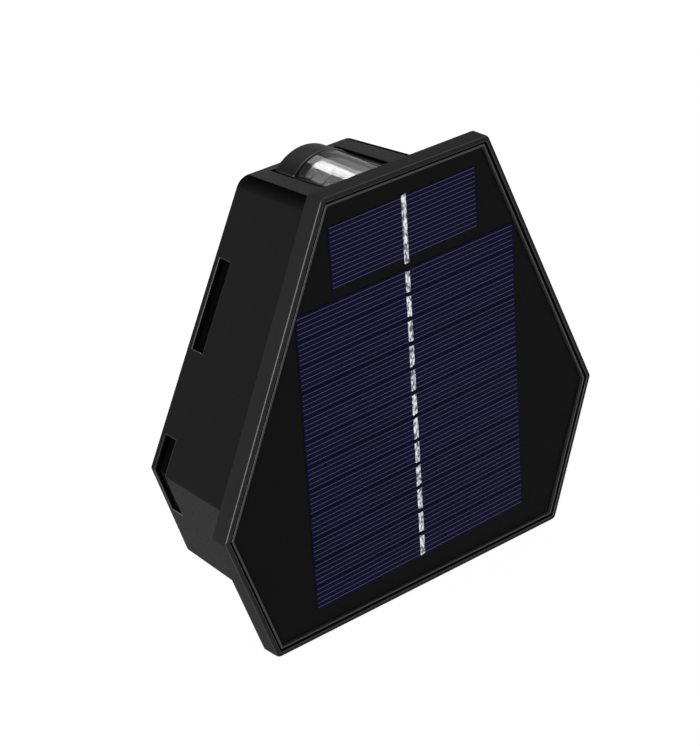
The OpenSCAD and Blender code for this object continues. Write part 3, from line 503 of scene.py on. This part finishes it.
def rounded_copy(node, name, width_mm, materials, steps=2, finish=None):
    """A merged copy of a CAD node with its outer edges bevelled, which stands for it.

    The new narrow faces take the last of the materials; finish may deal them out again.
    """
    mesh = merged_mesh(node)
    sharp = {
        edge for edge in mesh.edges
        if len(edge.link_faces) == 2 and edge.is_convex and edge.calc_face_angle(0) > SHARP
    }
    # An edge is left alone where a short neighbour leaves its bevel no room.
    roomy = [
        edge for edge in mesh.edges
        if edge in sharp and all(
            near in sharp or near.calc_length() > ROOM_WIDTHS * width_mm
            for end in edge.verts for near in end.link_edges
        )
    ]
    corners = KDTree(len(mesh.verts))
    for index, vert in enumerate(mesh.verts):
        corners.insert(vert.co, index)
    corners.balance()
    bmesh.ops.bevel(
        mesh, geom=roomy, offset=width_mm, segments=steps, profile=0.5, affect="EDGES",
        clamp_overlap=False, miter_outer="ARC", material=len(materials) - 1,
    )
    # A bevel without a clamp can throw a vertex far off, which goes back to its corner.
    strays = 0
    for vert in mesh.verts:
        corner, _, far = corners.find(vert.co)
        if far > STRAY_WIDTHS * width_mm:
            vert.co = corner
            strays += 1
    if finish:
        mesh.normal_update()
        finish(mesh)
    count = len(roomy)
    piece = shade_round(add_piece(name, mesh, materials))
    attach(piece, "light")
    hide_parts(node)
    print(f"{name}: {count} edges rounded, {strays} strays, {len(piece.data.polygons)} faces")
    return piece


# Places in mm that tell the tub's faces apart: beside a lens opening, in the depth of the
# side slots, above or below everything between, and high up on the rounded corners.
OPENING_HALF = 10.3
SEAM_REACH = 0.3
SLOT_NEAR, SLOT_FAR = 1.7, 6.2
TUB_TOP, TUB_UNDER = 60, -20
ROUNDING_LOW = 50
ROUNDING_FACING = (0.42, 0.997)
SIDEWAYS = 0.08


def finish_housing(mesh):
    """Skin (0), roundings with painted shade (1), slot walls with painted shade (2), new edges
    (3).

    The edges along the lens openings take that painted shade too, which draws the seam round
    each unit.
    """
    found = 0
    low, high = ROUNDING_FACING
    for face in mesh.faces:
        middle, normal = face.calc_center_median(), face.normal
        if face.material_index == 3:
            beside = abs(abs(middle.x) - OPENING_HALF) < SEAM_REACH
            if beside and not TUB_UNDER < middle.z < TUB_TOP:
                face.material_index = 2
        elif SLOT_NEAR < -middle.y < SLOT_FAR:
            face.material_index = 2
        elif middle.z > ROUNDING_LOW and low < normal.z < high and abs(normal.x) > SIDEWAYS:
            face.material_index = 1
            found += 1
    print("faces of the long roundings:", found)


housing = rounded_copy(
    "housing", "housing_shell", 0.22, [housing_abs, rounding_shade_abs, groove_shade_abs, polished_edge],
    finish=finish_housing,
)


# Depths in mm from the wall, and how squarely a face of the rim looks forward.
FRONT, LIP, GROOVE = 40.0, 39.75, 39.3
RIM_DEPTH = 1
LEVEL = 0.05
FLAT_FACING = 0.97
ROUND_FACING = (0.2, 0.8)


def finish_rim(mesh):
    """Plain flats (0), painted shade in the groove (1), a polished outer round (2) and a bright
    lip (3).
    """
    floor = []
    low, high = ROUND_FACING
    for face in mesh.faces:
        depth, facing = -face.calc_center_median().y, -face.normal.y
        new_edge = face.material_index == 3
        if depth < FRONT - RIM_DEPTH:
            face.material_index = 0
        elif facing > FLAT_FACING and abs(depth - GROOVE) < LEVEL:
            floor.append(face)
        elif facing > FLAT_FACING and abs(depth - LIP) < LEVEL:
            face.material_index = 3
        elif not new_edge and low < facing < high:
            face.material_index = 2
    for face in floor:
        for edge in face.edges:
            for near in edge.link_faces:
                near.material_index = 1
    print("faces of the groove's floor:", len(floor))


frame_piece = rounded_copy(
    "front_frame", "panel_frame", 0.15, [frame_abs, groove_shade_abs, polished_edge, bright_lip],
    finish=finish_rim,
)
for side in ("top", "bottom"):
    hood = rounded_copy(
        f"{side}_hood", f"{side}_hood_moulding", 0.25, [housing_abs, polished_edge]
    )
    lens = rounded_copy(f"{side}_lens", f"{side}_lens_clear", 0.3, [clear_pc], 3)

# %% [markdown]
# ## The printed lines on the cells
# A cell gathers its current in thin silver lines, printed across it and fired in. They
# could be a texture, but drawn as real bars they stay crisp from any distance. They
# repeat twice over, lines within a strip and strips within the panel, so Geometry Nodes
# make them: one row of points for the strips, a shorter row of points copied onto each,
# and a pair of bars, left and right of the ribbon, copied onto every point. The same
# group draws the upper cell with other numbers. The real lines are about 0.1 mm wide;
# they are drawn at 0.16 mm so that they don't break up in the picture.

# %% Cell lines
LINE_INPUTS = {
    "Strips": ("NodeSocketInt", 1),
    "Strip Pitch": ("NodeSocketFloat", 0.0),
    "Lines": ("NodeSocketInt", 1),
    "Line Pitch": ("NodeSocketFloat", 0.0),
    "First Line": ("NodeSocketVector", (0, 0, 0)),
    "Line Size": ("NodeSocketVector", (0, 0, 0)),
    "Inner End": ("NodeSocketFloat", 0.0),
    "Material": ("NodeSocketMaterial", None),
}


def line_group():
    """A node group that draws lines on strips, in pairs with a gap in the middle."""
    tree = bpy.data.node_groups.new("cell_lines", "GeometryNodeTree")
    tree.interface.new_socket("Geometry", in_out="INPUT", socket_type="NodeSocketGeometry")
    for name, (kind, value) in LINE_INPUTS.items():
        socket = tree.interface.new_socket(name, in_out="INPUT", socket_type=kind)
        if value is not None:
            socket.default_value = value
    tree.interface.new_socket("Geometry", in_out="OUTPUT", socket_type="NodeSocketGeometry")
    given = tree.nodes.new("NodeGroupInput").outputs
    down = []
    for name in ("Strip Pitch", "Line Pitch"):
        back = add_node(tree, "ShaderNodeMath", {0: given[name], 1: -1}, operation="MULTIPLY")
        down.append(add_node(tree, "ShaderNodeCombineXYZ", {"Z": back.outputs[0]}).outputs[0])
    strips = add_node(tree, "GeometryNodeMeshLine", {
        "Count": given["Strips"], "Start Location": given["First Line"], "Offset": down[0],
    })
    lines = add_node(tree, "GeometryNodeMeshLine", {"Count": given["Lines"], "Offset": down[1]})
    points = add_node(tree, "GeometryNodeInstanceOnPoints", {
        "Points": strips.outputs[0], "Instance": lines.outputs[0],
    })
    points = add_node(tree, "GeometryNodeRealizeInstances", {"Geometry": points.outputs[0]})
    bar = add_node(tree, "GeometryNodeMeshCube", {"Size": given["Line Size"]})
    length = add_node(tree, "ShaderNodeSeparateXYZ", {"Vector": given["Line Size"]}).outputs["X"]
    half = add_node(tree, "ShaderNodeMath", {0: length, 1: 0.5}, operation="MULTIPLY")
    out = add_node(tree, "ShaderNodeMath", {0: half.outputs[0], 1: given["Inner End"]})
    pair = tree.nodes.new("GeometryNodeJoinGeometry")
    for sign in (-1, 1):
        x = add_node(tree, "ShaderNodeMath", {0: out.outputs[0], 1: sign}, operation="MULTIPLY")
        place = add_node(tree, "ShaderNodeCombineXYZ", {"X": x.outputs[0]})
        moved = add_node(tree, "GeometryNodeTransform", {
            "Geometry": bar.outputs[0], "Translation": place.outputs[0],
        })
        tree.links.new(moved.outputs[0], pair.inputs[0])
    bars = add_node(tree, "GeometryNodeInstanceOnPoints", {
        "Points": points.outputs[0], "Instance": pair.outputs[0],
    })
    bars = add_node(tree, "GeometryNodeRealizeInstances", {"Geometry": bars.outputs[0]})
    drawn = add_node(tree, "GeometryNodeSetMaterial", {
        "Geometry": bars.outputs[0], "Material": given["Material"],
    })
    result = tree.nodes.new("NodeGroupOutput")
    tree.links.new(drawn.outputs[0], result.inputs[0])
    return tree


def draw_lines(name, group, values):
    """Runs the line group with the values given and keeps its mesh."""
    piece = add_piece(name, bmesh.new(), [])
    nodes = piece.modifiers.new("lines", "NODES")
    nodes.node_group = group
    for item in group.interface.items_tree:
        if item.in_out == "INPUT" and item.name in values:
            nodes[item.identifier] = values[item.name]
    plain(piece)
    turn_with_cells(piece)
    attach(piece, "light")
    print(f"{name}: {len(piece.data.polygons) // 6} bars")
    return piece


CELL_FRONT = -39.3
CELL_TURN = math.radians(1.3)
CELL_PIVOT = Vector((0, 0, 19.8)) * MM


def turn_with_cells(piece):
    """Turns a mesh as the cells were laid on the board, a little off the frame's axes."""
    turn = Matrix.Rotation(-CELL_TURN, 4, "Y")
    piece.data.transform(
        Matrix.Translation(CELL_PIVOT) @ turn @ Matrix.Translation(-CELL_PIVOT)
    )


LINE_W, LINE_T = 0.16, 0.02
RIBBON_HALF = 0.74
END_GAP = 0.35
cell_lines = line_group()


def line_values(strips, strip_pitch, lines, pitch, top, height, width):
    """The group's values in metres for a block of cells given in millimetres."""
    first = top - (height - (lines - 1) * pitch) / 2
    length = width / 2 - END_GAP - RIBBON_HALF
    return {
        "Strips": strips, "Strip Pitch": strip_pitch * MM, "Lines": lines,
        "Line Pitch": pitch * MM, "Inner End": RIBBON_HALF * MM, "Material": fired_silver,
        "First Line": [0, (CELL_FRONT - LINE_T / 2) * MM, first * MM],
        "Line Size": [length * MM, LINE_T * MM, LINE_W * MM],
    }


upper_cell = line_values(
    strips=1, strip_pitch=0, lines=14, pitch=1.15, top=68.2, height=15.6, width=46.09
)
lower_block = line_values(
    strips=12, strip_pitch=STRIP_MM, lines=5, pitch=1.25, top=49.6, height=6.325, width=68.95
)
draw_lines("upper_cell_lines", cell_lines, upper_cell)
draw_lines("strip_lines", cell_lines, lower_block)

# %% [markdown]
# ## The tinned ribbon
# A soldered ribbon is cut by hand from a reel, pressed on with an iron, and never quite
# flat. CAD draws thirteen plain bars. Here each piece is built from cross-sections a
# fraction of a millimetre apart, whose width and height wander a little, and its two
# ends are cut askew. The random numbers have a fixed seed, so every run is the same.

# %% Ribbon pieces
RIBBON_T = 0.15
UPPER_SPAN = (68.7, 51.15)
BLOCK_TOP = 49.7
SPAN_END = 0.575
RIBBON_SPANS = [UPPER_SPAN] + [
    (BLOCK_TOP - STRIP_MM * i - SPAN_END, BLOCK_TOP - STRIP_MM * (i + 1) + SPAN_END)
    for i in range(12)
]
SECTION_STEP = 0.5
END_WANDER, END_SLANT = 0.12, 0.22
SIDE_WANDER, THICK_WANDER = (-0.05, 0.03), (-0.03, 0.03)
RIBBON_SHARP = math.radians(50)
chance = random.Random(11)


def ribbon_section(z, slants, share):
    """Points round the ribbon at one height: a thin strip with eased shoulders."""
    half = RIBBON_HALF + chance.uniform(*SIDE_WANDER)
    thick = RIBBON_T + chance.uniform(*THICK_WANDER)
    slant = slants[0] * (1 - share) + slants[1] * share
    shape = [(-1, 0), (-1, 0.55), (-0.84, 1), (0, 0.92), (0.84, 1), (1, 0.55), (1, 0)]
    return [Vector((half * x, CELL_FRONT - thick * t, z + slant * x)) for x, t in shape]


def make_ribbons():
    """Thirteen ribbon pieces, each a loft of its cross-sections, closed at both ends."""
    mesh = bmesh.new()
    for top, bottom in RIBBON_SPANS:
        steps = max(6, round((top - bottom) / SECTION_STEP))
        top += chance.uniform(-END_WANDER, END_WANDER)
        bottom += chance.uniform(-END_WANDER, END_WANDER)
        slants = [chance.uniform(-END_SLANT, END_SLANT) for _ in range(2)]
        rings = []
        for i in range(steps + 1):
            z = top + (bottom - top) * i / steps
            points = ribbon_section(z, slants, i / steps)
            rings.append([mesh.verts.new(point) for point in points])
        for above, below in zip(rings, rings[1:]):
            for k in range(len(above)):
                after = (k + 1) % len(above)
                mesh.faces.new((above[k], above[after], below[after], below[k]))
        mesh.faces.new(rings[0])
        mesh.faces.new(rings[-1])
    bmesh.ops.recalc_face_normals(mesh, faces=mesh.faces)
    piece = shade_round(add_piece("tinned_ribbon_pieces", mesh, [tinned_copper]), RIBBON_SHARP)
    turn_with_cells(piece)
    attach(piece, "light")
    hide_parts("cell_ribbons")
    return piece


print(len(RIBBON_SPANS), "ribbon pieces,", len(make_ribbons().data.polygons), "faces")

# %% [markdown]
# ## LED packages under the lenses
# CAD draws an LED as a plain block. A real one of this size is a white plastic body with
# a round well, and the well is filled with yellow phosphor gel over the chip. Each body
# here is a ring of walls round that well, with eased edges and a slightly hollow gel.

# %% LED packages
LED_HALF = 2.5
LED_H = 1.6
LED_FLOOR = -7.2
LED_EASE = 0.15
LED_PLACES = (10.5, 22.5)
WELL_R, WELL_DEPTH, WELL_SLOPE = 2.05, 0.6, 0.25
GEL_FLAT_R, GEL_DISH = 0.9, 0.08
TUB_RISE, TUB_DEPTH = 2, 35
TILT = math.atan2(TUB_RISE, TUB_DEPTH)
UNITS = {"top": (67.0, 1), "bottom": (-25.6, -1)}


def unit_point(side, across, forward, out):
    """A point of a light unit in the object's frame; forward runs from wall to panel."""
    edge, sign = UNITS[side]
    c, s = math.cos(TILT), math.sin(TILT)
    return Vector((across, -c * forward + s * out, edge + sign * (s * forward + c * out)))


def led_package(mesh, side, middle):
    """Adds one LED: a square body with a round well (slot 0) and the gel in it (slot 1)."""
    count = 32
    gel = LED_H - WELL_DEPTH
    rings = []
    for radius, out, square in (
        (LED_HALF, 0, True), (LED_HALF, LED_H - LED_EASE, True),
        (LED_HALF - LED_EASE, LED_H, True), (WELL_R, LED_H, False),
        (WELL_R - WELL_SLOPE, gel, False), (GEL_FLAT_R, gel - GEL_DISH, False),
    ):
        ring = []
        for k in range(count):
            angle = 2 * math.pi * (k + 0.5) / count
            x, y = math.cos(angle), math.sin(angle)
            reach = radius / max(abs(x), abs(y)) if square else radius
            ring.append(mesh.verts.new(
                unit_point(side, reach * x, middle + reach * y, LED_FLOOR + out)
            ))
        rings.append(ring)
    for level, (low, high) in enumerate(zip(rings, rings[1:])):
        for k in range(count):
            after = (k + 1) % count
            face = mesh.faces.new((low[k], low[after], high[after], high[k]))
            face.material_index = 1 if level == 4 else 0
    mesh.faces.new(rings[0])
    mesh.faces.new(rings[-1]).material_index = 1


for side in UNITS:
    mesh = bmesh.new()
    for middle in LED_PLACES:
        led_package(mesh, side, middle)
    bmesh.ops.recalc_face_normals(mesh, faces=mesh.faces)
    leds = shade_round(add_piece(f"{side}_led_packages", mesh, [led_body, led_phosphor]))
    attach(leds, "light")
    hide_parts(f"{side}_leds")
print("LED packages:", len(LED_PLACES) * len(UNITS))

# %% [markdown]
# ## Painted shade in the seams round the light units
# Each hood drops into an opening of the tub with 0.3 mm to spare, and the photograph shows
# that seam as a dark line. The seam is filled with painted shade: a flat near-black ring
# with four corners, set just below the tub's skin.

# %% Seam shade
SEAM_OUTER = OPENING_HALF - 0.02
SEAM_W = 0.28
SEAM_START, SEAM_END = 2.47, 33.48
SEAM_TOP, SEAM_BOTTOM = -0.03, -0.45


def seam_shade_ring(mesh, side):
    """Adds a four-cornered near-black ring of painted shade that fills the seam round one light
    unit.
    """
    rings = []
    for inset, out in (
        (0, SEAM_BOTTOM), (0, SEAM_TOP), (SEAM_W, SEAM_TOP), (SEAM_W, SEAM_BOTTOM),
    ):
        half, start, end = SEAM_OUTER - inset, SEAM_START + inset, SEAM_END - inset
        corners = [(-half, start), (half, start), (half, end), (-half, end)]
        rings.append([mesh.verts.new(unit_point(side, x, y, out)) for x, y in corners])
    for ring, inner in zip(rings, rings[1:] + rings[:1]):
        for k in range(4):
            after = (k + 1) % 4
            mesh.faces.new((ring[k], ring[after], inner[after], inner[k]))


mesh = bmesh.new()
for side in UNITS:
    seam_shade_ring(mesh, side)
bmesh.ops.recalc_face_normals(mesh, faces=mesh.faces)
# The ring is painted shade in the seam, in the near-black groove material.
seam_shade = add_piece("unit_seam_painted_shade", mesh, [groove_shade_abs])
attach(seam_shade, "light")
print("sealant rings:", len(UNITS))

# %% [markdown]
# ## Screws and push button on the wall side
# The four frame screws sit deep in their wells, and the push button in its own. Their
# edges get the same care as the housing's. The button also gets two moulded rings, which
# a finger finds without looking; they are too small for the CAD model.

# %% Wall side
screws = rounded_copy("frame_screws", "cross_head_screws", 0.12, [zinc_steel])


BUTTON_Z = 19.2


def make_button():
    """The button turned on a lathe: a dished face with two rings, a cap, a flange, a stem."""
    face = [(0, 0.75), (1.1, 0.72), (1.2, 0.6), (1.45, 0.6), (1.55, 0.72), (2.4, 0.7),
            (2.5, 0.6), (2.75, 0.6), (2.85, 0.68), (3.4, 0.66), (3.8, 0.72), (3.95, 0.88),
            (4.0, 1.1)]
    rest = [(4.0, 4.12), (5.2, 4.12), (5.2, 5.32), (1.5, 5.32), (1.5, 7.82), (0, 7.82)]
    mesh = bmesh.new()
    line = [mesh.verts.new((r, -depth, BUTTON_Z)) for r, depth in face + rest]
    edges = [mesh.edges.new(pair) for pair in zip(line, line[1:])]
    bmesh.ops.spin(
        mesh, geom=line + edges, cent=(0, 0, BUTTON_Z), axis=(0, 1, 0), angle=2 * math.pi,
        steps=64, use_merge=True,
    )
    bmesh.ops.remove_doubles(mesh, verts=mesh.verts, dist=MERGE_MM / 2)
    bmesh.ops.recalc_face_normals(mesh, faces=mesh.faces)
    button = shade_round(add_piece("ringed_push_button", mesh, [button_tpe]))
    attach(button, "button")
    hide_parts("switch_button")
    return button


print("button faces:", len(make_button().data.polygons))

# %% [markdown]
# ## The studio
# The object stands in a plain pale studio: one floor, a white surround and five soft
# lamps. The key stands low at the left of the camera, so that it draws a thin line on the
# frame's left edge and leaves the upper faces dark. A weak one from above opens them a
# little, and one from the upper right draws the top edge. A strip behind and above draws
# the band of light that the photograph shows along the lens. The last lights the wall side
# and can't be seen from the front.

# %% Studio
BACKGROUND = "#ffffff"
FLOOR_HALF = 3
FLOOR_GAP = 0.2 * MM
# The floor is its glow for the most part, and its paper for the rest, which keeps a faint
# shadow: a share of 0.85 at 1.12, and some light on the paper, come to white together.
GLOW_SHARE, GLOW = 0.85, 1.12
WORLD_LIGHT = 0.22


def seen_share(tree):
    """1 for rays that look at the surround, mirrored and refracted ones too, or else 0."""
    rays = add_node(tree, "ShaderNodeLightPath").outputs
    seen = rays["Is Camera Ray"]
    for other in ("Is Glossy Ray", "Is Transmission Ray"):
        seen = add_node(
            tree, "ShaderNodeMath", {0: seen, 1: rays[other]}, operation="MAXIMUM"
        ).outputs[0]
    return seen


def make_floor():
    """A large pale floor just under the object, white to the camera but for its shadow."""
    mesh = bmesh.new()
    bmesh.ops.create_grid(mesh, x_segments=1, y_segments=1, size=FLOOR_HALF)
    data = bpy.data.meshes.new("floor")
    mesh.to_mesh(data)
    mesh.free()
    floor = bpy.data.objects.new("floor", data)
    floor.location.z = cad_box[0].z - FLOOR_GAP
    bpy.context.scene.collection.objects.link(floor)
    material, tree, shader = new_material("matte_white_paper", {
        "Base Color": linear("#f2f2f2"), "Roughness": 0.9, "Specular IOR Level": 0.1,
    })
    glow = add_node(tree, "ShaderNodeEmission", {"Color": linear(BACKGROUND), "Strength": GLOW})
    share = add_node(
        tree, "ShaderNodeMath", {0: seen_share(tree), 1: GLOW_SHARE}, operation="MULTIPLY"
    ).outputs[0]
    mixed = add_node(tree, "ShaderNodeMixShader", {
        0: share, 1: shader.outputs[0], 2: glow.outputs[0],
    })
    tree.links.new(mixed.outputs[0], tree.nodes["Material Output"].inputs[0])
    data.materials.append(material)
    return floor


def make_world():
    """White where it is seen, reflected or refracted, and a soft grey as light."""
    world = bpy.data.worlds.new("studio")
    bpy.context.scene.world = world
    world.use_nodes = True
    tree = world.node_tree
    soft = tree.nodes["Background"]
    soft.inputs["Color"].default_value = linear(BACKGROUND)
    soft.inputs["Strength"].default_value = WORLD_LIGHT
    white = add_node(tree, "ShaderNodeBackground", {
        "Color": linear(BACKGROUND), "Strength": 1.0,
    })
    mixed = add_node(tree, "ShaderNodeMixShader", {
        0: seen_share(tree), 1: soft.outputs[0], 2: white.outputs[0],
    })
    tree.links.new(mixed.outputs[0], tree.nodes["World Output"].inputs[0])


def soft_lamp(name, place, size, power, roll=0.0):
    """A soft rectangular lamp that faces the object, turned about its axis by roll."""
    data = bpy.data.lights.new(name, "AREA")
    data.shape = "RECTANGLE"
    data.size, data.size_y = size
    data.energy = power
    lamp = bpy.data.objects.new(name, data)
    bpy.context.scene.collection.objects.link(lamp)
    lamp.location = place
    level = (AIM - lamp.location).to_track_quat("-Z", "Y")
    turn = Matrix.Rotation(math.radians(roll), 4, "Z").to_quaternion()
    lamp.rotation_euler = (level @ turn).to_euler()
    return lamp


make_floor()
make_world()
soft_lamp("top_lamp", Vector((-0.9, -0.8, 1.1)), (0.9, 0.9), 0.8)
soft_lamp("key_lamp", Vector((-1.2, -0.75, 0.34)), (0.7, 0.7), 13)
soft_lamp("rim_lamp", Vector((0.87, -0.65, 1.0)), (0.45, 0.45), 0.8)
# The lamp behind opens the wall side and isn't mirrored; the strip is only mirrored.
back = soft_lamp("back_lamp", Vector((0.9, 1.0, 0.22)), (0.5, 0.5), 9)
back.visible_glossy = False
back.visible_transmission = False
strip = soft_lamp("strip_lamp", Vector((0.20, 0.70, 0.70)), (0.5, 0.27), 2.5, -15)
strip.visible_diffuse = False
bpy.context.scene.view_settings.view_transform = "Standard"
print("studio ready")
